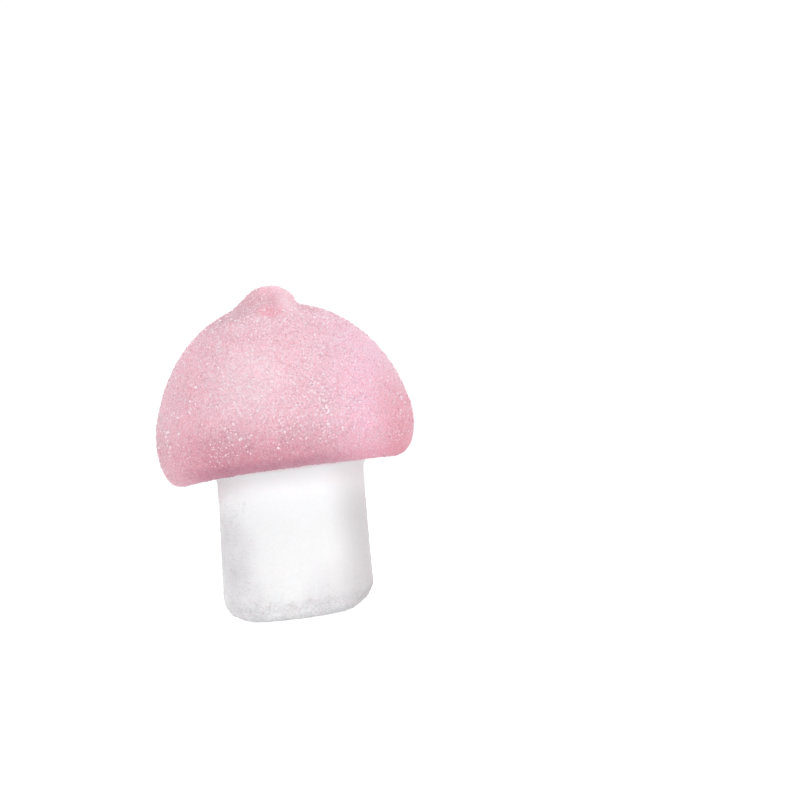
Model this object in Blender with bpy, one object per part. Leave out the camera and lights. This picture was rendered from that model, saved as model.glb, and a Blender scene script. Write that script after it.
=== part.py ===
"""A mushroom-shaped marshmallow: a domed cap with a small curled tip, poured over the top of a stem.

Metres, +Z up. The stem stands on the ground at z = 0, the front faces -Y, and the origin lies on the
ground under the middle of the whole piece. Both pieces are soft foam that set as it was poured, so the
turned shapes are pushed out of round afterwards by the functions named after what the foam does.
"""

import math

import bmesh
import bpy
from mathutils import Vector

MM = 0.001
SIDES = 64  # faces round each turned shape

# The stem, a short cast cylinder
STEM_TOP_RADIUS = 10.05 * MM
STEM_FOOT_RADIUS = 10.35 * MM
STEM_HEIGHT = 23.0 * MM
STEM_LEAN = math.radians(3.0)  # towards +X
FOOT_ROUND_WIDTH = 4.6 * MM
FOOT_ROUND_HEIGHT = 3.7 * MM
FOOT_LIFT = 0.35 * MM  # the foot's rounded edge is this much higher at the right
TOP_ROUND = 1.2 * MM

# The cap, measured from its own middle line
CAP_RADIUS = 17.7 * MM
RIM_HEIGHT = 20.1 * MM  # underside of the cap above the ground
BELLY_HEIGHT = 25.7 * MM  # where the cap is widest
DOME_RISE = 17.3 * MM  # from the belly to the crown, before the tip
DOME_FULLNESS = 0.25 * MM  # how much further the left shoulder rises than the right one
DOME_ROUND_POWER = 2.27  # superellipse powers across and up
DOME_RISE_POWER = 1.61
LIP_WIDTH = 3.3 * MM  # the rounded lower edge, from the belly in to the flat underside
LIP_POWER = 2.3  # superellipse power of that edge
UNDERSIDE_ARCH = 0.6 * MM  # the underside is this much higher at the stem than at the lip
RIM_LIFT = 0.35 * MM  # the lower edge arches up this much at the front left
RIM_LIFT_TURN = math.radians(-115)
RIM_LIFT_REACH = math.radians(20)
SEAT_GAP = 0.3 * MM  # clearance between the stem and its seat in the cap

# The tip, the pulled tail of foam on the crown, which curls over to the right
TIP_RISE = 2.7 * MM
TIP_PLACE = Vector((0.67, -0.3)) * MM
TIP_LEFT = 4.36 * MM  # length of its long slope
TIP_RIGHT = 2.9 * MM  # length of its steep slope
TIP_DEPTH = 3.3 * MM  # half its size from front to back
TIP_POWER = 3.06
COLLAR_DIP = 0.33 * MM  # the crown sinks round the tip
COLLAR_REACH = 6.0 * MM
FOLD_DEPTH = 0.8 * MM  # dimple where the tail folds in at the front
FOLD_PLACE = Vector((0.25, -3.0)) * MM
FOLD_REACH = Vector((0.95, 1.15)) * MM
CURL_RISE = 0.45 * MM  # the rolled edge beside the fold
CURL_PLACE = Vector((2.0, -3.0)) * MM
CURL_REACH = Vector((0.9, 1.8)) * MM

# Rings of the turned outlines
CROWN_RINGS = 13
SHOULDER_RINGS = 14
LIP_RINGS = 8
UNDERSIDE_RINGS = 3
FOOT_RINGS = 6
STEM_SIDE_RINGS = 6
TOP_RINGS = 3
CROWN_ARC = 0.30  # share of the dome's quarter turn, in radians, that the fine crown rings cover

QUARTER = math.pi / 2


def power_arc(angle, width, rise, across_power, up_power):
    """A point on a quarter superellipse: (0, rise) at angle 0, (width, 0) at a quarter turn."""
    across = width * math.sin(angle) ** (2 / across_power)
    up = rise * max(math.cos(angle), 0.0) ** (2 / up_power)
    return across, up


def steps(first, last, count):
    """Evenly spaced values after first, up to and including last."""
    return [first + (last - first) * (i + 1) / count for i in range(count)]


def bump(offset, reach):
    """A smooth round hill, 1 at its middle. offset and reach are 2-D."""
    return math.exp(-((offset.x / reach.x) ** 2) - (offset.y / reach.y) ** 2)


def ease(value, low, high):
    """0 below low, 1 above high, smooth in between."""
    share = min(max((value - low) / (high - low), 0.0), 1.0)
    return share * share * (3 - 2 * share)


def lean_at(height):
    """How far the stem's middle line has moved towards +X at this height."""
    return height * math.tan(STEM_LEAN)


def turned(name, profile):
    """A closed shape turned about Z from (radius, height) points that run from the top round to the bottom."""
    bm = bmesh.new()
    verts = [bm.verts.new((radius, 0, height)) for radius, height in profile]
    edges = [bm.edges.new(pair) for pair in zip(verts, verts[1:])]
    bmesh.ops.spin(
        bm, geom=verts + edges, cent=(0, 0, 0), axis=(0, 0, 1), angle=2 * math.pi, steps=SIDES, use_merge=True
    )
    bmesh.ops.remove_doubles(bm, verts=bm.verts, dist=0.001 * MM)
    bmesh.ops.recalc_face_normals(bm, faces=bm.faces)
    mesh = bpy.data.meshes.new(name)
    bm.to_mesh(mesh)
    bm.free()
    mesh.shade_smooth()
    piece = bpy.data.objects.new(name, mesh)
    bpy.context.scene.collection.objects.link(piece)
    return piece


def reshape(piece, push):
    """Moves every point of the piece by the function push."""
    for vert in piece.data.vertices:
        vert.co = push(vert.co)


# ---------------------------------------------------------------- the stem


def stem_profile(grow):
    """The stem's outline with every face moved out by grow."""
    top, foot = STEM_TOP_RADIUS + grow, STEM_FOOT_RADIUS + grow
    height, bottom = STEM_HEIGHT + grow, -grow
    points = [(0.0, height), (top - TOP_ROUND, height)]
    for angle in steps(0, QUARTER, TOP_RINGS):
        across, up = power_arc(angle, TOP_ROUND, TOP_ROUND, 2, 2)
        points.append((top - TOP_ROUND + across, height - TOP_ROUND + up))
    side_low, side_high = bottom + FOOT_ROUND_HEIGHT, height - TOP_ROUND
    for share in steps(0, 1, STEM_SIDE_RINGS):
        points.append((top + (foot - top) * share, side_high + (side_low - side_high) * share))
    for angle in steps(0, QUARTER, FOOT_RINGS):
        across, up = power_arc(QUARTER - angle, FOOT_ROUND_WIDTH, FOOT_ROUND_HEIGHT, 2, 2)
        points.append((foot - FOOT_ROUND_WIDTH + across, bottom + FOOT_ROUND_HEIGHT - up))
    points.append((0.0, bottom))
    return points


def stem_slump(co):
    """The stem is a little out of round, narrows at the waist and leans, and its foot lifts at the right."""
    angle = math.atan2(co.y, co.x)
    swell = 1 + 0.006 * math.cos(2 * angle + 0.9) + 0.004 * math.cos(3 * angle - 0.4)
    waist = 1 - 0.008 * math.sin(math.pi * min(max(co.z / STEM_HEIGHT, 0), 1))
    share = swell * waist
    rounded = ease(co.x, STEM_FOOT_RADIUS - FOOT_ROUND_WIDTH, STEM_FOOT_RADIUS)
    lift = FOOT_LIFT * rounded * (1 - ease(co.z, 0, 2 * FOOT_ROUND_HEIGHT))
    return Vector((co.x * share + lean_at(co.z), co.y * share, co.z + lift))


def make_stem(name, grow=0.0):
    stem = turned(name, stem_profile(grow))
    reshape(stem, stem_slump)
    return stem


# ---------------------------------------------------------------- the cap


def cap_profile():
    """The cap's outline from the crown over the belly and lip to the middle of the underside."""
    points = [(0.0, BELLY_HEIGHT + DOME_RISE)]
    angles = steps(0, CROWN_ARC, CROWN_RINGS) + steps(CROWN_ARC, QUARTER, SHOULDER_RINGS)
    for angle in angles:
        across, up = power_arc(angle, CAP_RADIUS, DOME_RISE, DOME_ROUND_POWER, DOME_RISE_POWER)
        points.append((across, BELLY_HEIGHT + up))
    flat_radius = CAP_RADIUS - LIP_WIDTH
    lip_drop = BELLY_HEIGHT - RIM_HEIGHT
    for angle in steps(0, QUARTER, LIP_RINGS):
        across, down = power_arc(QUARTER - angle, LIP_WIDTH, lip_drop, LIP_POWER, LIP_POWER)
        points.append((flat_radius + across, BELLY_HEIGHT - down))
    stem_radius = STEM_TOP_RADIUS
    for share in steps(0, 1, UNDERSIDE_RINGS):
        arch = UNDERSIDE_ARCH * ease(share, 0, 1)
        points.append((flat_radius + (stem_radius - flat_radius) * share, RIM_HEIGHT + arch))
    points.append((0.0, RIM_HEIGHT + UNDERSIDE_ARCH))
    return points


def cap_slump(co):
    """The cap sags most at the left and least at the front, and bulges a little unevenly."""
    angle, radius = math.atan2(co.y, co.x), math.hypot(co.x, co.y)
    outer = ease(radius, 0.6 * CAP_RADIUS, CAP_RADIUS)
    upper = ease(co.z, BELLY_HEIGHT, BELLY_HEIGHT + DOME_RISE)
    lower = 1 - ease(co.z, RIM_HEIGHT, BELLY_HEIGHT + 2 * MM)
    swell = 0.010 * math.sin(2 * angle + 0.3) * math.sin(angle) + 0.008 * math.sin(3 * angle)
    sag = 0.57 * math.cos(angle) - 0.42 * math.cos(2 * angle) - 0.2 * math.sin(angle)
    sag += 0.14 * math.sin(4 * angle + 0.6) * math.sin(angle) ** 2
    lift = RIM_LIFT * math.exp(-(((angle - RIM_LIFT_TURN) / RIM_LIFT_REACH) ** 2))
    full = -DOME_FULLNESS * math.tanh(co.x / (6 * MM)) * upper
    share = 1 + swell * outer
    return Vector((co.x * share, co.y * share, co.z + (sag * MM + lift) * lower * outer + full))


def tip_height(place):
    """Height of the pulled tail above the crown at a place in the crown's plane."""
    offset = place - TIP_PLACE
    reach = TIP_LEFT if offset.x < 0 else TIP_RIGHT
    distance = math.hypot(offset.x / reach, offset.y / TIP_DEPTH)
    tail = TIP_RISE * math.exp(-(distance**TIP_POWER))
    collar = COLLAR_DIP * math.exp(-((place.length / COLLAR_REACH) ** 2))
    fold = FOLD_DEPTH * bump(place - FOLD_PLACE, FOLD_REACH)
    curl = CURL_RISE * bump(place - CURL_PLACE, CURL_REACH)
    return tail - collar - fold + curl


def cap_tip(co):
    """Raises the tail on the crown. It fades out before the shoulder."""
    if co.z < BELLY_HEIGHT:
        return co
    return co + Vector((0, 0, tip_height(co.xy)))


def cut_seat(cap):
    """Cuts the stem's top, grown by the gap, out of the cap's underside."""
    cutter = make_stem("stem_seat_cutter", SEAT_GAP)
    cutter.hide_render = True
    cutter.display_type = "WIRE"
    cut = cap.modifiers.new("stem seat", "BOOLEAN")
    cut.operation = "DIFFERENCE"
    cut.object = cutter
    return cutter


def make_cap():
    cap = turned("cap", cap_profile())
    reshape(cap, cap_slump)
    reshape(cap, cap_tip)
    middle = lean_at(RIM_HEIGHT)
    reshape(cap, lambda co: co + Vector((middle, 0, 0)))
    return cap


# ---------------------------------------------------------------- materials and assembly


def foam(name, colour, roughness):
    material = bpy.data.materials.new(name)
    material.use_nodes = True
    surface = material.node_tree.nodes["Principled BSDF"]
    surface.inputs["Base Color"].default_value = (*colour, 1)
    surface.inputs["Roughness"].default_value = roughness
    surface.inputs["Metallic"].default_value = 0.0
    surface.inputs["Subsurface Weight"].default_value = 0.3
    surface.inputs["Subsurface Radius"].default_value = (3 * MM, 1.5 * MM, 1.5 * MM)
    return material


def centre_over_origin(pieces):
    """Moves the pieces together so that the middle of their common box is on the Z axis."""
    corners = [vert.co for piece in pieces for vert in piece.data.vertices if not piece.hide_render]
    middle_x = (min(co.x for co in corners) + max(co.x for co in corners)) / 2
    middle_y = (min(co.y for co in corners) + max(co.y for co in corners)) / 2
    for piece in pieces:
        piece.location = (-middle_x, -middle_y, 0)


def main():
    for old in list(bpy.data.objects):
        bpy.data.objects.remove(old)
    stem = make_stem("stem")
    stem.data.materials.append(foam("white foam", (0.93, 0.92, 0.92), 0.8))
    cap = make_cap()
    cap.data.materials.append(foam("pink foam", (0.85, 0.50, 0.60), 0.8))
    cutter = cut_seat(cap)
    centre_over_origin([stem, cap, cutter])


main()
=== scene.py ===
"""The looks of a sugared, mushroom-shaped marshmallow: two soft foam skins over the solids, with sugar
crystals of several kinds pressed into them. Metres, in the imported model's own frame: +Z is up and -Y is
the front."""

import math
from collections import namedtuple

import bmesh
import bpy
import numpy as np
from mathutils import Matrix, Vector, noise


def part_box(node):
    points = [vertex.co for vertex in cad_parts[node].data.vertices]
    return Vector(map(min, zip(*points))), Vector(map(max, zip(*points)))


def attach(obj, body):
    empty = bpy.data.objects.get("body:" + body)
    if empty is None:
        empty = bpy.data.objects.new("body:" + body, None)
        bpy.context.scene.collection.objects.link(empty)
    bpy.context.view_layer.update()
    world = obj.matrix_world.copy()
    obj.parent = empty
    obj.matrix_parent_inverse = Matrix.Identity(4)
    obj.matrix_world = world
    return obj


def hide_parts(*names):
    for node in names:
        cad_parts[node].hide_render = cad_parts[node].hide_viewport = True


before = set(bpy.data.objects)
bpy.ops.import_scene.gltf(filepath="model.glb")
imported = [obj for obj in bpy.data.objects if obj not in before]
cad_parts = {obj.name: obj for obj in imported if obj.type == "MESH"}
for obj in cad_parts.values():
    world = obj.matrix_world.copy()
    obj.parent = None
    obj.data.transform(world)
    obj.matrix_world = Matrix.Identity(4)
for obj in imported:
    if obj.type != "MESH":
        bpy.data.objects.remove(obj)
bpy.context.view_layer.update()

MM = 0.001

# Places worked out from the solids
CAP_LOW, CAP_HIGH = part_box("cap")
STEM_LOW, STEM_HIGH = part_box("stem")
CROWN = Vector(((CAP_LOW.x + CAP_HIGH.x) / 2, (CAP_LOW.y + CAP_HIGH.y) / 2, CAP_HIGH.z))
RIM_HEIGHT = CAP_LOW.z + 1.2 * MM  # where the stem goes into the cap
BELLY_HEIGHT = CAP_LOW.z + 6.5 * MM  # where the cap is widest
STEM_WIDTH = STEM_HIGH.x - STEM_LOW.x
GROUND_MIDDLE = Vector((0, 0, 0))  # under the middle of the object

# Colours of the cap and its sugar
PINK = (0.94, 0.565, 0.65)
DEEP_PINK = (0.69, 0.37, 0.45)
PALE_PINK = (0.965, 0.725, 0.805)
CLEAR_PINK = (1.0, 0.82, 0.885)
STAINED_PINK = (0.76, 0.425, 0.51)
FROSTED_PINK = (1.0, 0.88, 0.935)
PEARL = (1.0, 0.86, 0.91)

# Colours of the stem and its sugar
WHITE = (0.785, 0.788, 0.792)
SOFT_WHITE = (0.80, 0.80, 0.81)
DUSTED_WHITE = (0.80, 0.803, 0.808)
MILKY_WHITE = (0.79, 0.79, 0.80)
GREY_WHITE = (0.77, 0.765, 0.78)
CLEAR_WHITE = (0.97, 0.97, 0.975)

# A round area: its place from a given origin, how far it reaches and the core where it is full, all in mm,
# and how strong it is there
Spot = namedtuple("Spot", "place reach core strength", defaults=(1.0,))


# ---------------------------------------------------------------- meshes


def link(name, data):
    piece = bpy.data.objects.new(name, data)
    bpy.context.scene.collection.objects.link(piece)
    return piece


def welded_copy(node):
    """A copy of a solid with its corners joined, so that it is one closed mesh."""
    bm = bmesh.new()
    bm.from_mesh(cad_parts[node].data)
    bmesh.ops.remove_doubles(bm, verts=bm.verts, dist=0.001 * MM)
    mesh = bpy.data.meshes.new(node + "_copy")
    bm.to_mesh(mesh)
    bm.free()
    return mesh


def joined(first, second):
    """first with second's mesh added to its own."""
    bm = bmesh.new()
    bm.from_mesh(first)
    bm.from_mesh(second)
    bm.to_mesh(first)
    bm.free()
    return first


def read_vectors(items, name):
    found = np.empty(len(items) * 3, np.float32)
    items.foreach_get(name, found)
    return found.reshape(-1, 3).astype(float)


def put_points(mesh, points):
    mesh.vertices.foreach_set("co", points.astype(np.float32).ravel())
    mesh.update()


# ---------------------------------------------------------------- noise and masks on points

NOISE_STEPS = (17.3, 5.9, 11.1)  # how far each seed moves the noise along each axis


def noise_at(points, size, seed):
    """Smooth noise from -1 to 1 whose lumps are about this size."""
    shift = Vector([seed * step for step in NOISE_STEPS])
    return np.array([noise.noise(Vector(p) / size + shift) for p in points])


def ease(value, low, high):
    """0 below low, 1 above high, smooth in between, for whole arrays."""
    share = np.clip((value - low) / (high - low), 0, 1)
    return share * share * (3 - 2 * share)


def near(points, place, reach):
    """1 at the place, falling off smoothly over the reach along each axis. Both are in mm, and the place is
    counted from the crown."""
    offset = (points - np.array(CROWN)) / MM - np.array(place)
    return np.exp(-((offset / np.array(reach)) ** 2).sum(1))


def bell(value, middle, reach):
    """1 at the middle, falling off smoothly over the reach on both sides."""
    return np.exp(-(((value - middle) / reach) ** 2))


def ragged_height(points):
    """Height above the ground, made uneven, so that the crust along the foot ends in a ragged edge."""
    raggedness = 1.3 * MM
    return points[:, 2] + raggedness * noise_at(points, size=3 * MM, seed=26)


# ---------------------------------------------------------------- foam skins

SKIN_PITCH = 0.24 * MM  # size of a skin's faces
SKIN_SMOOTHING = 6  # rounds of smoothing
SEAT_FILL = 0.45 * MM  # the seat is filled with a stem this much fatter, so that no gap shows
PLUG_BOTTOM = RIM_HEIGHT + 0.6 * MM  # the filling starts here, just inside the cap
STEM_FLARE = 0.55 * MM  # the stem spreads this much where it meets the cap
FLARE_REACH = 0.8 * MM

# What the pulled tail's curl does to the crown: place and reach from the crown, and push, all in mm
TAIL_PUSHES = [
    ((0.5, -6.2, -3.9), (0.9, 2.6, 1.3), (0.0, 1.1, -0.45)),  # the fold's dimple
    ((2.4, -5.0, -3.0), (0.8, 2.4, 1.5), (0.0, -0.4, 0.1)),  # the rolled edge beside it
    ((-2.6, -1.0, -1.2), (2.4, 3.5, 2.2), (-0.18, 0.0, 0.1)),  # the fuller left side
    ((3.0, -0.5, 0.0), (1.6, 2.6, 0.8), (-0.45, 0.0, -0.25)),  # the end that slopes off at the right
    ((4.3, -0.5, -2.5), (1.2, 2.6, 0.7), (-0.55, 0.0, -0.1)),  # the notch under it
]

# The foam's relief: how high its lumps are and how large, both in mm, and the noise's seed
CAP_RELIEF = [(0.10, 7, 1), (0.05, 2.2, 2), (0.055, 0.7, 3)]
STEM_RELIEF = [(0.08, 6, 4), (0.03, 1.8, 5)]
CRUST_RELIEF = 0.2  # in mm, where the foot is crusted


def remeshed(piece):
    """Covers the piece with small even faces, as one closed skin."""
    remesh = piece.modifiers.new("even faces", "REMESH")
    remesh.mode = "VOXEL"
    remesh.voxel_size = SKIN_PITCH
    smooth = piece.modifiers.new("smooth", "SMOOTH")
    smooth.factor = 0.5
    smooth.iterations = SKIN_SMOOTHING
    graph = bpy.context.evaluated_depsgraph_get()
    mesh = bpy.data.meshes.new_from_object(piece.evaluated_get(graph))
    piece.modifiers.clear()
    piece.data = mesh
    return piece


def relief_at(points, lumps):
    """How far the foam's lumps push each point out, in mm."""
    return sum(height * noise_at(points, size * MM, seed) for height, size, seed in lumps)


def seat_plug():
    """The upper end of a fatter stem, which fills the seat in the cap."""
    mesh = welded_copy("stem")
    normals = read_vectors(mesh.vertices, "normal")
    put_points(mesh, read_vectors(mesh.vertices, "co") + normals * SEAT_FILL)
    bm = bmesh.new()
    bm.from_mesh(mesh)
    everything = bm.verts[:] + bm.edges[:] + bm.faces[:]
    level = (0, 0, PLUG_BOTTOM)
    cut = bmesh.ops.bisect_plane(bm, geom=everything, plane_co=level, plane_no=(0, 0, -1), clear_outer=True)
    rim = [e for e in cut["geom_cut"] if isinstance(e, bmesh.types.BMEdge)]
    bmesh.ops.edgeloop_fill(bm, edges=rim)
    bmesh.ops.recalc_face_normals(bm, faces=bm.faces)
    bm.to_mesh(mesh)
    bm.free()
    return mesh


def make_cap_skin():
    cap = remeshed(link("cap_foam", joined(welded_copy("cap"), seat_plug())))
    points = read_vectors(cap.data.vertices, "co")
    for place, reach, push in TAIL_PUSHES:
        points += near(points, place, reach)[:, None] * np.array(push) * MM
    put_points(cap.data, points)
    normals = read_vectors(cap.data.vertices, "normal")
    relief = relief_at(points, CAP_RELIEF)
    put_points(cap.data, points + normals * (relief * MM)[:, None])
    cap.data.shade_smooth()
    return cap


def make_stem_skin():
    stem = remeshed(link("stem_foam", welded_copy("stem")))
    points = read_vectors(stem.data.vertices, "co")
    normals = read_vectors(stem.data.vertices, "normal")
    flare = STEM_FLARE * bell(points[:, 2], RIM_HEIGHT, FLARE_REACH)
    crusted = 1 - ease(ragged_height(points), 1.2 * MM, 3.6 * MM)
    relief = relief_at(points, STEM_RELIEF)
    relief += CRUST_RELIEF * crusted * noise_at(points, size=0.7 * MM, seed=6)
    standing = ease(points[:, 2], 0, 0.6 * MM)  # the very foot stays flat
    side = 1 - np.abs(normals[:, 2])
    push = relief * MM * standing + flare * side
    put_points(stem.data, points + normals * push[:, None])
    stem.data.shade_smooth()
    return stem


# ---------------------------------------------------------------- crystals

# The corners and faces of a blocky crystal and of a splinter, each about 1 across
BLOCK = (
    np.array([(x, y, z) for z in (-1, 1) for x, y in ((-1, -1), (1, -1), (1, 1), (-1, 1))]) / 2,
    np.array([(0, 3, 2, 1), (4, 5, 6, 7), (0, 1, 5, 4), (1, 2, 6, 5), (2, 3, 7, 6), (3, 0, 4, 7)]),
)
SPLINTER = (
    np.array([(0, 0, 1), (0.87, -0.5, 0), (0, 1, 0), (-0.87, -0.5, 0), (0, 0, -1)]) / 1.8,
    np.array([(0, 1, 2), (0, 2, 3), (0, 3, 1), (4, 2, 1), (4, 3, 2), (4, 1, 3)]),
)

THROWS = 14  # places thrown on each square as wide as the spacing, so that few squares stay empty
MOST_TAPER = 0.45  # how much narrower a crystal's top may be
MOST_SKEW = 0.3  # how far its top may lean
WIDTHS = (0.65, 1)  # its second side, as a share of the longest
THICKNESSES = (0.5, 0.9)  # its third side
SIZE_LEAN = 1.6  # above 1, more crystals are small than large
CELL_MARGIN = 0.2  # free share on each side of a crystal's own cell on the bake's map


def places_on(mesh, spacing, rng):
    """Points spread evenly on a mesh, about this far apart, and the directions out of it."""
    mesh.calc_loop_triangles()
    triangles = np.empty(len(mesh.loop_triangles) * 3, np.int32)
    mesh.loop_triangles.foreach_get("vertices", triangles)
    triangles = triangles.reshape(-1, 3)
    corners = read_vectors(mesh.vertices, "co")[triangles]
    outward = read_vectors(mesh.vertices, "normal")[triangles]
    area = np.linalg.norm(np.cross(corners[:, 1] - corners[:, 0], corners[:, 2] - corners[:, 0]), axis=1) / 2
    count = int(THROWS * area.sum() / spacing**2)
    chosen = rng.choice(len(area), count, p=area / area.sum())
    share = rng.random((count, 2))
    over = share.sum(1) > 1
    share[over] = 1 - share[over]
    weights = np.stack([1 - share.sum(1), share[:, 0], share[:, 1]], 1)[:, :, None]
    points = (corners[chosen] * weights).sum(1)
    normals = (outward[chosen] * weights).sum(1)
    normals /= np.linalg.norm(normals, axis=1)[:, None]
    cells = np.floor(points / spacing + rng.random(3)).astype(np.int64)
    _, first = np.unique(cells, axis=0, return_index=True)
    return points[first], normals[first]


def random_turns(count, rng):
    """Rotation matrices that turn every way alike."""
    w, x, y, z = rng.normal(size=(4, count))
    length = np.sqrt(w * w + x * x + y * y + z * z)
    w, x, y, z = w / length, x / length, y / length, z / length
    rows = [
        [1 - 2 * (y * y + z * z), 2 * (x * y - z * w), 2 * (x * z + y * w)],
        [2 * (x * y + z * w), 1 - 2 * (x * x + z * z), 2 * (y * z - x * w)],
        [2 * (x * z - y * w), 2 * (y * z + x * w), 1 - 2 * (x * x + y * y)],
    ]
    return np.array(rows).transpose(2, 0, 1)


def crystal_points(shape, points, normals, size, sunk, rng):
    """The corners of one crystal at each point, tapered, skewed and turned at random. sunk is how deep a
    crystal's middle sits in the foam, as a share of its size."""
    count = len(points)
    found = np.repeat(shape[None], count, 0)
    taper = 1 - rng.uniform(0.0, MOST_TAPER, count)[:, None] * (found[:, :, 2] + 0.5)
    found[:, :, :2] *= taper[:, :, None]
    found[:, :, 0] += rng.uniform(-MOST_SKEW, MOST_SKEW, count)[:, None] * found[:, :, 2]
    sides = np.stack([np.ones(count), rng.uniform(*WIDTHS, count), rng.uniform(*THICKNESSES, count)], 1)
    found *= (sides * size[:, None])[:, None, :]
    found = np.einsum("nij,nkj->nki", random_turns(count, rng), found)
    middle = points - normals * (sunk * size)[:, None]
    return found + middle[:, None, :]


def crystal_mesh(name, corners, faces):
    """One joined mesh of crystals from the corners of each. Each has its own cell on the bake's map."""
    count, size = corners.shape[0], faces.shape[1]
    loops = (faces[None] + corners.shape[1] * np.arange(count)[:, None, None]).reshape(-1)
    mesh = bpy.data.meshes.new(name)
    mesh.vertices.add(count * corners.shape[1])
    mesh.vertices.foreach_set("co", corners.astype(np.float32).ravel())
    mesh.loops.add(len(loops))
    mesh.loops.foreach_set("vertex_index", loops.astype(np.int32))
    mesh.polygons.add(len(loops) // size)
    mesh.polygons.foreach_set("loop_start", np.arange(0, len(loops), size, dtype=np.int32))
    mesh.update(calc_edges=True)
    across = math.ceil(math.sqrt(count))
    crystal = np.repeat(np.arange(count), faces.size)
    cell = np.stack([crystal % across, crystal // across], 1)
    square = np.array([(0, 0), (1, 0), (1, 1), (0, 1)])[:size]
    corner = np.tile(square, (len(loops) // size, 1))
    place = (cell + CELL_MARGIN + (1 - 2 * CELL_MARGIN) * corner) / across
    mesh.uv_layers.new(name="OFBake").uv.foreach_set("vector", place.astype(np.float32).ravel())
    mesh.validate()
    return mesh


def make_sugar(name, skin, kind, cover, look, spacing, smallest, largest, sunk, seed):
    """Crystals of one kind on a skin. cover gives the share of them to keep at each place."""
    rng = np.random.default_rng(seed)
    points, normals = places_on(skin.data, spacing, rng)
    kept = rng.random(len(points)) < cover(points)
    points, normals = points[kept], normals[kept]
    size = smallest + (largest - smallest) * rng.random(len(points)) ** SIZE_LEAN
    shape, faces = kind
    corners = crystal_points(shape, points, normals, size, sunk, rng)
    above_ground = corners[:, :, 2].min(1) > 0
    piece = link(name, crystal_mesh(name, corners[above_ground], faces))
    piece.data.materials.append(look)
    return piece


# ---------------------------------------------------------------- where the sugar clings


def cap_cover(points):
    """How much sugar clings to the cap: less on its lower edge, on the tail and at both sides, least at the
    right, and in faint clumps."""
    low = 0.3 + 0.7 * ease(points[:, 2], CAP_LOW.z + 1.5 * MM, BELLY_HEIGHT + 1 * MM)
    tail = 1 - 0.65 * near(points, place=(0, 0, 0.8), reach=(4.8, 9, 3.8))
    clumps = 0.85 + 0.5 * noise_at(points, size=2.4 * MM, seed=21)
    sides = 1 - 0.5 * ease(np.abs(points[:, 0]), 7 * MM, 13 * MM)
    smooth_right = 1 - 0.5 * ease(points[:, 0], 5 * MM, 11 * MM)
    return low * tail * clumps * sides * smooth_right


def loose_cover(points):
    """Where big bright crystals lie: in sparse clusters, most of them in a band above the lower edge and in
    the middle of the front, and few low on the left."""
    band = bell(points[:, 2], BELLY_HEIGHT, 3.2 * MM)
    collar = near(points, place=(1, -7.5, -4.6), reach=(6, 3.5, 1.4))
    clusters = ease(noise_at(points, size=3.2 * MM, seed=22), 0.0, 0.6)
    above_rim = ease(points[:, 2], CAP_LOW.z + 3 * MM, CAP_LOW.z + 5.5 * MM)
    smooth_right = 1 - 0.7 * ease(points[:, 0], 8 * MM, 14 * MM)
    middle = near(points, place=(2, -17, -18), reach=(5, 8, 4))
    bare_left = 1 - 0.6 * near(points, place=(-9, -14, -21.5), reach=(5, 8, 3.5))
    share = 0.16 + 0.35 * band + 0.8 * collar + 0.4 * middle
    return share * (0.15 + clusters) * above_rim * smooth_right * bare_left


def fine_cover(points):
    """Where fine bright crystals lie: on the tail and its rolled edge, in a collar round it, in patches."""
    tip = near(points, place=(0.4, -2.5, -1.5), reach=(4, 5, 2.4))
    collar = near(points, place=(0, -8, -5), reach=(9, 4, 2.2))
    patches = ease(noise_at(points, size=4 * MM, seed=25), 0.0, 0.6)
    above_rim = ease(points[:, 2], CAP_LOW.z + 1.5 * MM, CAP_LOW.z + 4 * MM)
    rolled = near(points, place=(2.6, -5.6, -3.4), reach=(1.6, 2.6, 1.4))
    return (0.05 + 0.3 * tip + 0.5 * rolled + 0.22 * collar + 0.25 * patches) * above_rim


def stem_cover(points):
    """How much sugar clings to the stem: most along the foot and on the left, little on the bare front."""
    foot = 1 - ease(ragged_height(points), 1.5 * MM, 5.5 * MM)
    left = 1 - ease(points[:, 0], -0.45 * STEM_WIDTH, -0.2 * STEM_WIDTH)
    behind = ease(points[:, 1], -0.1 * STEM_WIDTH, 0.3 * STEM_WIDTH)
    clumps = 0.9 + 0.6 * noise_at(points, size=2.0 * MM, seed=23)
    return np.maximum.reduce([foot, 0.75 * left, 0.4 * behind]) * clumps


def crust_cover(points):
    """Where the coarse crust of the foot lies: along its edge, in clumps."""
    foot = 1 - ease(ragged_height(points), 1.2 * MM, 3.4 * MM)
    return foot * (0.8 + 0.9 * noise_at(points, size=1.6 * MM, seed=24))


# ---------------------------------------------------------------- shader nodes

MIX_FIRST, MIX_SECOND, MIX_RESULT = 6, 7, 2  # the Mix node's colour sockets


def add_node(tree, kind, **settings):
    node = tree.nodes.new("ShaderNode" + kind)
    for name, value in settings.items():
        setattr(node, name, value)
    return node


def fill(tree, socket, value):
    """Links the value into the socket if it comes from another node, and sets it otherwise."""
    if isinstance(value, bpy.types.NodeSocket):
        tree.links.new(value, socket)
    else:
        socket.default_value = value


def new_group(name, inputs, outputs):
    """An empty node group. Inputs are given as (name, kind, value), outputs as (name, kind)."""
    group = bpy.data.node_groups.new(name, "ShaderNodeTree")
    for socket, kind, value in inputs:
        made = group.interface.new_socket(name=socket, in_out="INPUT", socket_type="NodeSocket" + kind)
        made.default_value = value
    for socket, kind in outputs:
        group.interface.new_socket(name=socket, in_out="OUTPUT", socket_type="NodeSocket" + kind)
    return group, group.nodes.new("NodeGroupInput"), group.nodes.new("NodeGroupOutput")


def new_tint_group(name):
    """An empty group that takes a colour and gives it back changed."""
    return new_group(name, [("Colour", "Color", (1, 1, 1, 1))], [("Colour", "Color")])


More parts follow.
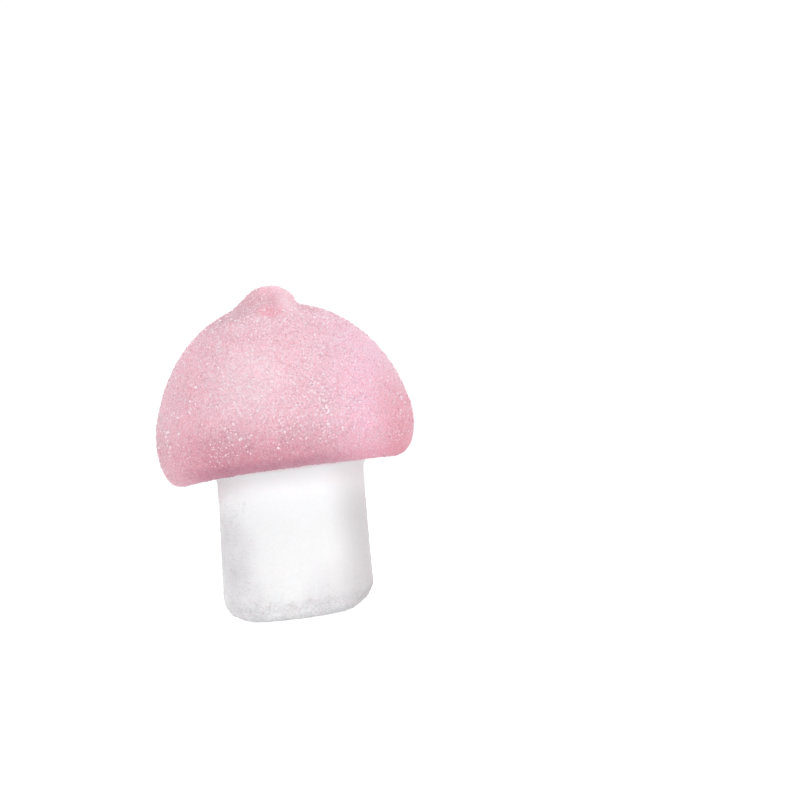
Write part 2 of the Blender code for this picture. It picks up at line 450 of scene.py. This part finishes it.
def place_group(tree, group, **values):
    """Puts a group in a material, with its own values."""
    node = add_node(tree, "Group", node_tree=group)
    for name, value in values.items():
        fill(tree, node.inputs[name.replace("_", " ")], value)
    return node


def maths(tree, operation, *values):
    """A Math node. Each value is an output to link or a number."""
    node = add_node(tree, "Math", operation=operation)
    for socket, value in zip(node.inputs, values):
        fill(tree, socket, value)
    return node.outputs[0]


def both(tree, first, second):
    """A mask that is full only where both masks are."""
    return maths(tree, "MULTIPLY", first, second)


def fade(tree, value, start, end, strength=1.0):
    """0 where the value is at start and this strength where it is at end, smooth in between."""
    node = add_node(tree, "MapRange", interpolation_type="SMOOTHSTEP")
    node.inputs["From Min"].default_value = start
    node.inputs["From Max"].default_value = end
    node.inputs["To Max"].default_value = strength
    tree.links.new(value, node.inputs["Value"])
    return node.outputs["Result"]


def blend(tree, share, first, second, way="MIX"):
    """Mixes two colours, each an output to link or an (r, g, b, a)."""
    node = add_node(tree, "Mix", data_type="RGBA", blend_type=way)
    tree.links.new(share, node.inputs["Factor"])
    fill(tree, node.inputs[MIX_FIRST], first)
    fill(tree, node.inputs[MIX_SECOND], second)
    return node.outputs[MIX_RESULT]


def shaded(tree, colour, shades):
    """The colour with shades put on it in turn, each given as (mask, shade, way to mix it)."""
    for mask, shade, way in shades:
        colour = blend(tree, mask, colour, (*shade, 1), way)
    return colour


def object_place(tree):
    return add_node(tree, "TexCoord").outputs["Object"]


def across_and_up(tree):
    """Each point's X and Z."""
    place = add_node(tree, "SeparateXYZ")
    tree.links.new(object_place(tree), place.inputs[0])
    return place.outputs["X"], place.outputs["Z"]


def spot(tree, origin, area):
    """A mask of a round area, whose place is counted from the origin."""
    away = add_node(tree, "VectorMath", operation="DISTANCE")
    tree.links.new(object_place(tree), away.inputs[0])
    away.inputs[1].default_value = origin + Vector(area.place) * MM
    return fade(tree, away.outputs["Value"], area.reach * MM, area.core * MM, area.strength)


# ---------------------------------------------------------------- shared effects: dust and crystals

SPECK_EDGE = (-0.15, 0.35)  # from bare foam to a sugar speck
PIT_EDGE = (0.62, 0.40)  # from level foam to the bottom of a pit
PIT_SHARE = 0.5  # how much of a pit's colour shows in it
BARE_ROUGHNESS = 0.8
SPECK_POLISH = 0.25  # how much smoother a sugar speck is than bare foam

STAIN_LEAN = 2.2  # above 1, more crystals are stained than clean
CRYSTAL_ROUGHNESS = 0.5
CRYSTAL_POLISH = 0.35  # how much smoother the most polished crystal is


def grain_group():
    """Sugar dust pressed flat into foam: specks of several shades, a few pits, and their height."""
    inputs = [
        ("Foam Colour", "Color", (1, 1, 1, 1)),
        ("Sugar Colour", "Color", (1, 1, 1, 1)),
        ("Pit Colour", "Color", (1, 1, 1, 1)),
        ("Grain Size", "Float", 0.3 * MM),
        ("Cover", "Float", 0.5),
    ]
    outputs = [("Colour", "Color"), ("Roughness", "Float"), ("Height", "Float")]
    group, given, result = new_group("pressed sugar dust", inputs, outputs)
    scale = maths(group, "DIVIDE", 1.0, given.outputs["Grain Size"])
    specks = add_node(group, "TexVoronoi", feature="F1")
    pores = add_node(group, "TexNoise")
    pores.inputs["Detail"].default_value = 2
    for texture in (specks, pores):
        group.links.new(object_place(group), texture.inputs["Vector"])
        group.links.new(scale, texture.inputs["Scale"])
    shade = add_node(group, "SeparateColor")
    group.links.new(specks.outputs["Color"], shade.inputs["Color"])
    bare = maths(group, "SUBTRACT", 1.0, given.outputs["Cover"])
    sugared = fade(group, maths(group, "SUBTRACT", shade.outputs["Red"], bare), *SPECK_EDGE)
    pitted = fade(group, pores.outputs["Fac"], *PIT_EDGE)
    dusted = blend(group, sugared, given.outputs["Foam Colour"], given.outputs["Sugar Colour"])
    pit_share = maths(group, "MULTIPLY", pitted, PIT_SHARE)
    colour = blend(group, pit_share, dusted, given.outputs["Pit Colour"])
    rough = maths(group, "MULTIPLY_ADD", sugared, -SPECK_POLISH, BARE_ROUGHNESS)
    round_top = maths(group, "SUBTRACT", 1.0, specks.outputs["Distance"])
    height = maths(group, "SUBTRACT", both(group, round_top, sugared), pitted)
    group.links.new(colour, result.inputs["Colour"])
    group.links.new(rough, result.inputs["Roughness"])
    group.links.new(height, result.inputs["Height"])
    return group


def crystal_group():
    """Each crystal's own shade, from foam-stained to clean, and its own polish."""
    inputs = [("Stained Colour", "Color", (1, 1, 1, 1)), ("Clean Colour", "Color", (1, 1, 1, 1))]
    outputs = [("Colour", "Color"), ("Roughness", "Float")]
    group, given, result = new_group("crystal shades", inputs, outputs)
    chance = add_node(group, "NewGeometry").outputs["Random Per Island"]
    clean = maths(group, "POWER", chance, STAIN_LEAN)
    colour = blend(group, clean, given.outputs["Stained Colour"], given.outputs["Clean Colour"])
    rough = maths(group, "MULTIPLY_ADD", chance, -CRYSTAL_POLISH, CRYSTAL_ROUGHNESS)
    group.links.new(colour, result.inputs["Colour"])
    group.links.new(rough, result.inputs["Roughness"])
    return group


# ---------------------------------------------------------------- shared effect: the cap's colouring, painted light and shade

# Round areas, counted from the crown
BARE_TAIL = Spot((0, -2.0, 0.5), 6.0, 3.5, strength=0.6)  # the middle of the pulled tail
TAIL_SHADED_SIDE = Spot((-4.0, -3.0, -2.5), 7.0, 3.0)  # painted shade, a little redder, on the tail's left side
FOLD = Spot((0.5, -6.1, -3.5), 2.9, 0.6, strength=0.6)  # the fold in the tail
ROLLED_EDGE = Spot((2.6, -4.6, -2.9), 2.8, 0.9, strength=0.4)  # beside the fold: a painted highlight on the rolled edge
NOTCH = Spot((4.6, -4.0, -3.4), 3.2, 1.0)  # under the tail's end: a painted shadow
FLUSHED = Spot((-10.9, -10.5, -14.5), 5.5, 1.5)  # a deeper pink patch low on the left
PAINTED_HIGHLIGHT_SPOT = Spot((-3.5, -16.0, -12.5), 8.0, 1.0, strength=0.22)  # a painted highlight, high on the left of the front

# Fades along one axis, from where each starts to where it is full, and what goes with them
# The lower part of the cap: deeper pink, and painted shade towards the lower edge
LOWER_PART = (BELLY_HEIGHT + 2.5 * MM, CAP_LOW.z + 1.0 * MM)
LOWER_TILT = 0.12  # how steeply the lower part's upper edge rises to the left
OVER_STEM = (14.5 * MM, 5.5 * MM)  # distance sideways from the middle of the painted shade over the stem
OVER_STEM_LEFT = 2.5 * MM  # how far to the left that middle is
OUTER_SHARE = 0.4  # how much of the lower part's painted shade is left away from the stem
# Painted shadow in the crease where the cap meets the stem
CREASE = (CAP_LOW.z + 2.8 * MM, CAP_LOW.z + 1.5 * MM)
# Painted warm shade along the lower rim on the right
WARM_RIM = (CAP_LOW.z + 3.8 * MM, CAP_LOW.z + 0.8 * MM)
WARM_RIGHT = (5 * MM, 11 * MM)
# Painted shade on the cap's left side
LEFT_SIDE = (-5 * MM, -13 * MM)
RIGHT_SIDE = (2 * MM, 13 * MM)
# Painted salmon shade low on the cap's right edge
RIGHT_EDGE = (11 * MM, 16 * MM)
SALMON_HEIGHT = (BELLY_HEIGHT + 10 * MM, BELLY_HEIGHT - 1 * MM)
# Painted shade on the dome's shoulder, between its top and the tail
DOME_TOP = (CROWN.z - 12 * MM, CROWN.z - 7 * MM)
BELOW_TAIL = (CROWN.z - 2.5 * MM, CROWN.z - 5 * MM)

# Shades that the colour is multiplied by, and colours mixed into it, painted shades and highlights among
# them
LOWER_PINK_AND_PAINTED_SHADE = (0.74, 0.55, 0.59)
CREASE_PAINTED_SHADOW = (0.80, 0.75, 0.81)
WARM_PAINTED_SHADE = (0.97, 0.80, 0.83)
TAIL_SIDE_PAINTED_SHADE = (0.82, 0.78, 0.79)
NOTCH_PAINTED_SHADOW = (0.89, 0.82, 0.83)
CAP_LEFT_PAINTED_SHADE = (0.99, 0.93, 0.94)
FLUSHED_SHADE = (0.98, 0.955, 0.965)
LILAC_SHADE = (0.965, 0.935, 0.985)
SALMON_PAINTED_SHADE = (0.935, 0.735, 0.73)
SHOULDER_PAINTED_SHADE = (0.975, 0.945, 0.955)
FOLD_PINK = (0.97, 0.38, 0.47)
ROLLED_EDGE_HIGHLIGHT = (0.94, 0.69, 0.77)
HIGHLIGHT_PINK = (1.0, 0.88, 0.94)


def cap_blush_light_and_shade_group():
    """The cap's colouring and painted light: deeper pink with painted shade towards the lower edge and on
    the tail, painted shadows and highlights, lilac at the right.
    """
    group, given, result = new_tint_group("cap blush with painted light and shade")
    x, z = across_and_up(group)
    tilted = maths(group, "MULTIPLY_ADD", x, LOWER_TILT, z)
    sideways = maths(group, "ABSOLUTE", maths(group, "ADD", x, OVER_STEM_LEFT))
    over_stem = fade(group, sideways, *OVER_STEM)
    lower_share = maths(group, "MULTIPLY_ADD", over_stem, 1 - OUTER_SHARE, OUTER_SHARE)
    lower = both(group, fade(group, tilted, *LOWER_PART), lower_share)
    crease = both(group, fade(group, z, *CREASE), over_stem)
    warm = both(group, fade(group, z, *WARM_RIM), fade(group, x, *WARM_RIGHT))
    salmon = both(group, fade(group, x, *RIGHT_EDGE), fade(group, z, *SALMON_HEIGHT))
    shoulder = both(group, fade(group, z, *DOME_TOP), fade(group, z, *BELOW_TAIL))
    shades = [
        (spot(group, CROWN, BARE_TAIL), PINK, "MIX"),
        (lower, LOWER_PINK_AND_PAINTED_SHADE, "MULTIPLY"),
        (crease, CREASE_PAINTED_SHADOW, "MULTIPLY"),
        (warm, WARM_PAINTED_SHADE, "MULTIPLY"),
        (spot(group, CROWN, TAIL_SHADED_SIDE), TAIL_SIDE_PAINTED_SHADE, "MULTIPLY"),
        (spot(group, CROWN, FOLD), FOLD_PINK, "MIX"),
        (spot(group, CROWN, NOTCH), NOTCH_PAINTED_SHADOW, "MULTIPLY"),
        (spot(group, CROWN, ROLLED_EDGE), ROLLED_EDGE_HIGHLIGHT, "MIX"),
        (fade(group, x, *LEFT_SIDE), CAP_LEFT_PAINTED_SHADE, "MULTIPLY"),
        (spot(group, CROWN, FLUSHED), FLUSHED_SHADE, "MULTIPLY"),
        (spot(group, CROWN, PAINTED_HIGHLIGHT_SPOT), HIGHLIGHT_PINK, "MIX"),
        (fade(group, x, *RIGHT_SIDE), LILAC_SHADE, "MULTIPLY"),
        (salmon, SALMON_PAINTED_SHADE, "MULTIPLY"),
        (shoulder, SHOULDER_PAINTED_SHADE, "MULTIPLY"),
    ]
    group.links.new(shaded(group, given.outputs["Colour"], shades), result.inputs["Colour"])
    return group


# ---------------------------------------------------------------- shared effect: the stem's painted light and shade

# Round grey areas of painted shade, counted from the middle of the ground under the object
LEFT_GREY = Spot((-8.8, -5.6, 10.0), 6, 2)
LOWER_LEFT_GREY = Spot((-7.8, -6.4, 4.5), 5, 1.5)
LOWER_RIGHT_GREY = Spot((4.5, -7.8, 3.0), 6, 2)

# Fades along one axis, from where each starts to where it is full, and what goes with them
# Painted shade on the stem's right side
STEM_RIGHT = (4.2 * MM, 9 * MM)
# Painted light at the stem's top, where the cap shades it
STEM_TOP = (RIM_HEIGHT - 8 * MM, RIM_HEIGHT)
# Painted: less red higher up, against the pink light the cap throws on the stem
STEM_UPPER = (6 * MM, 16 * MM)
# Rosy painted shade right under the cap
UNDER_CAP = (RIM_HEIGHT - 0.8 * MM, RIM_HEIGHT - 0.15 * MM)
# Painted light along the foot's edge
FOOT_EDGE = (2.4 * MM, 0.8 * MM)
# Where the painted shade of the crust's hollows lies
CRUSTED_PART = (3.8 * MM, 1.5 * MM)
FOOT_STRENGTH = 0.7  # how strong the painted light on the foot's edge is
TOP_SOFTENS = 0.55  # how much weaker the painted shade at the right is at the top
HOLLOW_SIZE = 0.35 * MM  # the crust's hollows, in painted shade
HOLLOW_EDGE = (0.52, 0.38)  # from a clump to the bottom of a hollow

# Painted light mixed in, and painted shades that the colour is multiplied by
TOP_PAINTED_LIGHT = (0.853, 0.868, 0.873)
FOOT_PAINTED_LIGHT = (1.0, 0.99, 1.0)
HOLLOW_PAINTED_SHADE = (0.88, 0.875, 0.89)
UPPER_PINK_LIGHT_OFFSET = (0.985, 1.0, 1.0)
STEM_RIGHT_PAINTED_SHADE = (0.76, 0.735, 0.74)
STEM_LEFT_PAINTED_SHADE = (0.89, 0.875, 0.895)
STEM_LOWER_LEFT_PAINTED_SHADE = (0.92, 0.91, 0.925)
STEM_LOWER_RIGHT_PAINTED_SHADE = (0.94, 0.93, 0.935)
UNDER_CAP_PAINTED_SHADE = (0.95, 0.79, 0.83)


def stem_painted_light_and_shade_group():
    """The stem's painted light and shade: painted grey shade at the right, in patches and in the crust's
    hollows, painted light at the top and along the foot's edge, and rosy painted shade right under the cap."""
    group, given, result = new_tint_group("stem painted light and shade")
    x, z = across_and_up(group)
    top = fade(group, z, *STEM_TOP)
    below_top = maths(group, "SUBTRACT", 1.0, maths(group, "MULTIPLY", top, TOP_SOFTENS))
    right = both(group, fade(group, x, *STEM_RIGHT), below_top)
    clumps = add_node(group, "TexNoise")
    clumps.inputs["Scale"].default_value = 1 / HOLLOW_SIZE
    group.links.new(object_place(group), clumps.inputs["Vector"])
    hollows = both(group, fade(group, clumps.outputs["Fac"], *HOLLOW_EDGE), fade(group, z, *CRUSTED_PART))
    shades = [
        (top, TOP_PAINTED_LIGHT, "MIX"),
        (fade(group, z, *FOOT_EDGE, FOOT_STRENGTH), FOOT_PAINTED_LIGHT, "MIX"),
        (hollows, HOLLOW_PAINTED_SHADE, "MULTIPLY"),
        (fade(group, z, *STEM_UPPER), UPPER_PINK_LIGHT_OFFSET, "MULTIPLY"),
        (right, STEM_RIGHT_PAINTED_SHADE, "MULTIPLY"),
        (spot(group, GROUND_MIDDLE, LEFT_GREY), STEM_LEFT_PAINTED_SHADE, "MULTIPLY"),
        (spot(group, GROUND_MIDDLE, LOWER_LEFT_GREY), STEM_LOWER_LEFT_PAINTED_SHADE, "MULTIPLY"),
        (spot(group, GROUND_MIDDLE, LOWER_RIGHT_GREY), STEM_LOWER_RIGHT_PAINTED_SHADE, "MULTIPLY"),
        (fade(group, z, *UNDER_CAP), UNDER_CAP_PAINTED_SHADE, "MULTIPLY"),
    ]
    group.links.new(shaded(group, given.outputs["Colour"], shades), result.inputs["Colour"])
    return group


GRAIN = grain_group()
CRYSTAL = crystal_group()
CAP_BLUSH_LIGHT_AND_SHADE = cap_blush_light_and_shade_group()
STEM_PAINTED_LIGHT_AND_SHADE = stem_painted_light_and_shade_group()


# ---------------------------------------------------------------- materials

DUST_HEIGHT = 0.1 * MM

# How strongly crystals mirror: loose ones, and those sunk in soft foam
LOOSE_IOR = 1.54
SUNK_IOR = 1.25


def new_material(name):
    material = bpy.data.materials.new(name)
    material.use_nodes = True
    return material, material.node_tree, material.node_tree.nodes["Principled BSDF"]


def foam_material(name, foam, sugar, pit, soft, grain_size, cover, bump, tint):
    """Soft foam under pressed dust. soft is how far light spreads in it, in mm for red, green and blue, and
    tint is the group with the piece's colouring and its painted light and shade."""
    material, tree, surface = new_material(name)
    surface.inputs["Subsurface Weight"].default_value = 1.0
    surface.inputs["Subsurface Radius"].default_value = soft
    surface.inputs["Subsurface Scale"].default_value = MM
    dust = place_group(
        tree, GRAIN, Foam_Colour=(*foam, 1), Sugar_Colour=(*sugar, 1), Pit_Colour=(*pit, 1),
        Grain_Size=grain_size, Cover=cover,
    )
    shown = place_group(tree, tint, Colour=dust.outputs["Colour"])
    tree.links.new(shown.outputs["Colour"], surface.inputs["Base Color"])
    tree.links.new(dust.outputs["Roughness"], surface.inputs["Roughness"])
    relief = add_node(tree, "Bump")
    relief.inputs["Strength"].default_value = bump
    relief.inputs["Distance"].default_value = DUST_HEIGHT
    tree.links.new(dust.outputs["Height"], relief.inputs["Height"])
    tree.links.new(relief.outputs["Normal"], surface.inputs["Normal"])
    return material


def sugar_material(name, stained, clean, ior, tint=None):
    """Crystals of many shades. tint is the group with the colouring and painted light and shade of the foam
    that they are sunk in.
    """
    material, tree, surface = new_material(name)
    surface.inputs["IOR"].default_value = ior
    shades = place_group(tree, CRYSTAL, Stained_Colour=(*stained, 1), Clean_Colour=(*clean, 1))
    shown = shades
    if tint:
        shown = place_group(tree, tint, Colour=shades.outputs["Colour"])
    tree.links.new(shown.outputs["Colour"], surface.inputs["Base Color"])
    tree.links.new(shades.outputs["Roughness"], surface.inputs["Roughness"])
    return material


def pink_foam():
    return foam_material(
        "pink foam", foam=PINK, sugar=PALE_PINK, pit=DEEP_PINK, soft=(1.2, 0.7, 0.8),
        grain_size=0.2 * MM, cover=0.5, bump=0.8, tint=CAP_BLUSH_LIGHT_AND_SHADE,
    )


def white_foam():
    return foam_material(
        "white foam", foam=WHITE, sugar=DUSTED_WHITE, pit=SOFT_WHITE, soft=(1.5, 1.3, 1.3),
        grain_size=0.24 * MM, cover=0.4, bump=0.2, tint=STEM_PAINTED_LIGHT_AND_SHADE,
    )


# ---------------------------------------------------------------- sugar


def make_cap_sugar(cap):
    """Blocky crystals all over the cap, stained by its foam."""
    look = sugar_material("pink sugar", STAINED_PINK, FROSTED_PINK, SUNK_IOR, CAP_BLUSH_LIGHT_AND_SHADE)
    return make_sugar(
        "cap_sugar", cap, BLOCK, cap_cover, look,
        spacing=0.42 * MM, smallest=0.17 * MM, largest=0.3 * MM, sunk=0.2, seed=11,
    )


def make_cap_dust(cap):
    """Fine splinters between the cap's crystals, in the same colours."""
    look = sugar_material("pink sugar dust", STAINED_PINK, FROSTED_PINK, SUNK_IOR, CAP_BLUSH_LIGHT_AND_SHADE)
    return make_sugar(
        "cap_dust", cap, SPLINTER, cap_cover, look,
        spacing=0.33 * MM, smallest=0.12 * MM, largest=0.22 * MM, sunk=0.12, seed=12,
    )


def make_cap_loose_sugar(cap):
    """Few large bright crystals that catch the light."""
    look = sugar_material("loose sugar", PALE_PINK, PEARL, LOOSE_IOR)
    return make_sugar(
        "cap_loose_sugar", cap, BLOCK, loose_cover, look,
        spacing=0.6 * MM, smallest=0.2 * MM, largest=0.38 * MM, sunk=0.1, seed=14,
    )


def make_cap_fine_sugar(cap):
    """Small bright crystals on the tail and round it."""
    look = sugar_material("fine sugar", PALE_PINK, CLEAR_PINK, LOOSE_IOR)
    return make_sugar(
        "cap_fine_sugar", cap, BLOCK, fine_cover, look,
        spacing=0.4 * MM, smallest=0.13 * MM, largest=0.22 * MM, sunk=0.1, seed=16,
    )


def make_stem_sugar(stem):
    """White crystals sunk in the stem."""
    look = sugar_material("white sugar", MILKY_WHITE, CLEAR_WHITE, SUNK_IOR, STEM_PAINTED_LIGHT_AND_SHADE)
    return make_sugar(
        "stem_sugar", stem, BLOCK, stem_cover, look,
        spacing=0.36 * MM, smallest=0.14 * MM, largest=0.28 * MM, sunk=0.36, seed=13,
    )


def make_foot_sugar(stem):
    """The coarser crust along the foot."""
    look = sugar_material("crusted sugar", GREY_WHITE, CLEAR_WHITE, SUNK_IOR, STEM_PAINTED_LIGHT_AND_SHADE)
    return make_sugar(
        "foot_sugar", stem, BLOCK, crust_cover, look,
        spacing=0.36 * MM, smallest=0.18 * MM, largest=0.32 * MM, sunk=0.3, seed=15,
    )


# ---------------------------------------------------------------- stage

CAMERA_DISTANCE = 320 * MM
CAMERA_HEIGHT = 25.4 * MM
CAMERA_AIM = Vector((16.16, 0, 27.65)) * MM
CAMERA_ROLL = math.radians(7)
CAMERA_LENS = 104.9  # on a sensor 36 wide
CAMERA_CLIP = 10 * MM

FLOOR_HALF = 0.6
FLOOR_GREY = (0.7, 0.7, 0.7, 1)

# How bright the floor and the studio round it are, as light on the foam and as the plain white that is seen
FLOOR_GLOW = 0.3
FLOOR_SHOWN = 0.65
STUDIO_GLOW = 0.3
STUDIO_SHOWN = 1.05

# Square lamps: azimuth (0 is in front, positive to the right) and elevation in degrees, width, radiance
LAMPS = {
    "front softbox": (-8, 5, 0.9, 3.05),
    "upper right softbox": (60, 76, 0.8, 2.4),
    "upper left softbox": (-60, 76, 0.8, 0.83),
    "low right softbox": (70, 10, 0.6, 2.9),
    "low left softbox": (-70, 10, 0.6, 1.65),
    "back softbox": (180, 14, 0.9, 2.0),
    "glint": (25, 45, 0.03, 60),
}
LAMP_DISTANCE = 1.0


def make_camera():
    place = Vector((CAMERA_AIM.x, -CAMERA_DISTANCE, CAMERA_HEIGHT))
    forward = (CAMERA_AIM - place).normalized()
    right = forward.cross(Vector((0, 0, 1))).normalized()
    up = right.cross(forward)
    turn = Matrix((right, up, -forward)).transposed().to_4x4()
    camera = bpy.data.cameras.new("camera")
    camera.lens = CAMERA_LENS
    camera.clip_start = CAMERA_CLIP
    holder = link("camera", camera)
    holder.matrix_world = Matrix.Translation(place) @ turn @ Matrix.Rotation(-CAMERA_ROLL, 4, "Z")
    bpy.context.scene.camera = holder


def make_world():
    """A white studio: soft light from all round, and plain white as the backdrop."""
    world = bpy.data.worlds.new("white studio")
    bpy.context.scene.world = world
    world.use_nodes = True
    tree = world.node_tree
    backdrop = tree.nodes["Background"]
    backdrop.inputs["Color"].default_value = (1, 1, 1, 1)
    seen = add_node(tree, "LightPath").outputs["Is Camera Ray"]
    strength = maths(tree, "MULTIPLY_ADD", seen, STUDIO_SHOWN - STUDIO_GLOW, STUDIO_GLOW)
    tree.links.new(strength, backdrop.inputs["Strength"])


def make_floor():
    mesh = bpy.data.meshes.new("floor")
    corners = [(x * FLOOR_HALF, y * FLOOR_HALF, 0) for x, y in ((-1, -1), (1, -1), (1, 1), (-1, 1))]
    mesh.from_pydata(corners, [], [(0, 1, 2, 3)])
    floor = link("floor", mesh)
    material, tree, surface = new_material("pale floor")
    surface.inputs["Base Color"].default_value = FLOOR_GREY
    surface.inputs["Roughness"].default_value = 1.0
    surface.inputs["Emission Color"].default_value = (1, 1, 1, 1)
    seen = add_node(tree, "LightPath").outputs["Is Camera Ray"]
    glow = maths(tree, "MULTIPLY_ADD", seen, FLOOR_SHOWN - FLOOR_GLOW, FLOOR_GLOW)
    tree.links.new(glow, surface.inputs["Emission Strength"])
    mesh.materials.append(material)


def add_lamp(name, azimuth, elevation, width, radiance):
    """A square lamp that looks at the middle of the object."""
    middle = Vector((0, 0, CAP_LOW.z))
    turn, lift = math.radians(azimuth), math.radians(elevation)
    away = Vector((math.sin(turn) * math.cos(lift), -math.cos(turn) * math.cos(lift), math.sin(lift)))
    lamp = bpy.data.lights.new(name, "AREA")
    lamp.size = width
    lamp.energy = radiance * math.pi * width * width
    holder = link(name, lamp)
    holder.location = middle + away * LAMP_DISTANCE
    holder.rotation_euler = away.to_track_quat("Z", "Y").to_euler()
    holder.visible_camera = False


# ---------------------------------------------------------------- putting it together

bpy.context.scene.view_settings.view_transform = "Standard"
make_camera()
make_world()
make_floor()
for name, settings in LAMPS.items():
    add_lamp(name, *settings)

cap = make_cap_skin()
cap.data.materials.append(pink_foam())
stem = make_stem_skin()
stem.data.materials.append(white_foam())
sugar = [
    make_cap_sugar(cap),
    make_cap_dust(cap),
    make_cap_loose_sugar(cap),
    make_cap_fine_sugar(cap),
    make_stem_sugar(stem),
    make_foot_sugar(stem),
]

for piece in (cap, stem, *sugar):
    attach(piece, "root")
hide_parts("cap")
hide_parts("stem")
